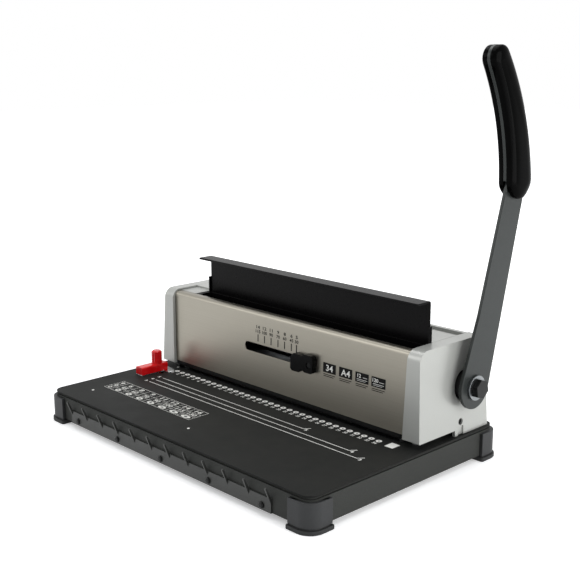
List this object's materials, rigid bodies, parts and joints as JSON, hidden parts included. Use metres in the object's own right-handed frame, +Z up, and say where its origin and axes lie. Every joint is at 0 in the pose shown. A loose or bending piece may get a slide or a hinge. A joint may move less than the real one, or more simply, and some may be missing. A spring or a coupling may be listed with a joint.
{
  "type": "wire binding machine",
  "caption": "Manual desktop punch and wire binding machine with a paper tray, a slotted silver punch body, an L-shaped closing plate and a long side lever.",
  "frame": {"origin": "middle of the machine's bounding box at the surface it stands on", "axes": "+X along the row of punch holes towards the lever, +Y from the paper tray to the back, +Z up"},
  "size_m": [0.3786, 0.2634, 0.3594],
  "materials": {
    "body_steel": "fine textured powder coat",
    "tray_black": "fine textured powder coat",
    "brushed_sheet": "long brushed, clear coated",
    "cap_silver": "satin silver paint",
    "black_steel": "semi-gloss black",
    "grey_steel": "satin grey paint",
    "bare_steel": "ground",
    "zinc_steel": "zinc plated",
    "brass": "turned",
    "black_plastic": "gloss",
    "matte_black_plastic": "fine matte",
    "red_plastic": "gloss",
    "rubber": "matt"
  },
  "bodies": {
    "machine": {"base_frame": "body_steel", "bottom_plate": "bare_steel", "tray_plate": "tray_black", "corner_pad_fl": "matte_black_plastic", "corner_pad_fr": "matte_black_plastic", "corner_pad_bl": "matte_black_plastic", "corner_pad_br": "matte_black_plastic", "foot_fl": "rubber", "foot_fr": "rubber", "foot_bl": "rubber", "foot_br": "rubber", "hook_strip": "body_steel", "hook_strip_screws": "black_steel", "base_screws": "zinc_steel", "front_panel": "brushed_sheet", "left_cap": "cap_silver", "right_cap": "cap_silver", "rear_cover": "cap_silver", "cap_screws": "zinc_steel", "left_frame_plate": "bare_steel", "right_frame_plate": "bare_steel", "shaft_bush_left": "brass", "shaft_bush_right": "brass", "tie_rods": "bare_steel", "die_plate": "black_steel", "paper_stop_bar": "bare_steel", "stripper_plate": "black_steel", "guide_post_left": "bare_steel", "guide_post_right": "bare_steel", "anvil_channel": "black_steel", "closing_guide_left": "black_steel", "closing_guide_right": "black_steel", "return_spring_left": "bare_steel", "return_spring_right": "bare_steel"},
    "lever": {"drive_shaft": "bare_steel", "punch_pinion_left": "bare_steel", "punch_pinion_right": "bare_steel", "closing_pinion_left": "bare_steel", "closing_pinion_right": "bare_steel", "lever_hub": "matte_black_plastic", "lever_bar": "grey_steel", "grip_inner_scale": "black_plastic", "grip_outer_scale": "black_plastic", "grip_rivets": "bare_steel", "lever_washer": "zinc_steel", "lever_bolt": "black_steel"},
    "punch_slide": {"punch_bar": "bare_steel", "punch_pins": "bare_steel", "punch_rack_left": "bare_steel", "punch_rack_right": "bare_steel"},
    "closer": {"closing_plate": "black_steel", "closing_rack_left": "bare_steel", "closing_rack_right": "bare_steel"},
    "size_setting": {"size_knob": "matte_black_plastic", "size_knob_screw": "zinc_steel", "depth_slide": "bare_steel"},
    "edge_guide": {"edge_guide_block": "red_plastic", "edge_guide_tongue": "bare_steel"},
    "edge_guide_clamp": {"edge_guide_knob": "red_plastic"},
    "drawer": {"chip_drawer": "matte_black_plastic"}
  },
  "joints": [
    {"name": "lever_pull", "type": "hinge", "parent": "machine", "child": "lever", "pos_m": [-0.00471, 0.06873, 0.0737], "axis": [1, 0, 0], "range_deg": [0, 88]},
    {"name": "punch_travel", "type": "slide", "parent": "machine", "child": "punch_slide", "axis": [0, 0, -1], "range_m": [0, 0.0139], "stiffness_N_per_m": 400, "springref_m": -0.02, "deforming": ["return_spring_left", "return_spring_right"]},
    {"name": "closing_travel", "type": "slide", "parent": "machine", "child": "closer", "axis": [0, 0, -1], "range_m": [0, 0.0277]},
    {"name": "size_slide", "type": "slide", "parent": "machine", "child": "size_setting", "axis": [1, 0, 0], "range_m": [-0.0885, 0]},
    {"name": "edge_guide_slide", "type": "slide", "parent": "machine", "child": "edge_guide", "axis": [1, 0, 0], "range_m": [-0.0078, 0.0078]},
    {"name": "edge_guide_knob_turn", "type": "hinge", "parent": "edge_guide", "child": "edge_guide_clamp", "pos_m": [-0.16121, -0.01477, 0.0452], "axis": [0, 0, 1], "range_deg": [0, 180]},
    {"name": "drawer_pull", "type": "slide", "parent": "machine", "child": "drawer", "axis": [0, 1, 0], "range_m": [0, 0.09]}
  ],
  "couplings": [
    {"joint": "punch_travel", "follows": "lever_pull", "m_per_rad": 0.009},
    {"joint": "closing_travel", "follows": "lever_pull", "m_per_rad": 0.018}
  ]
}
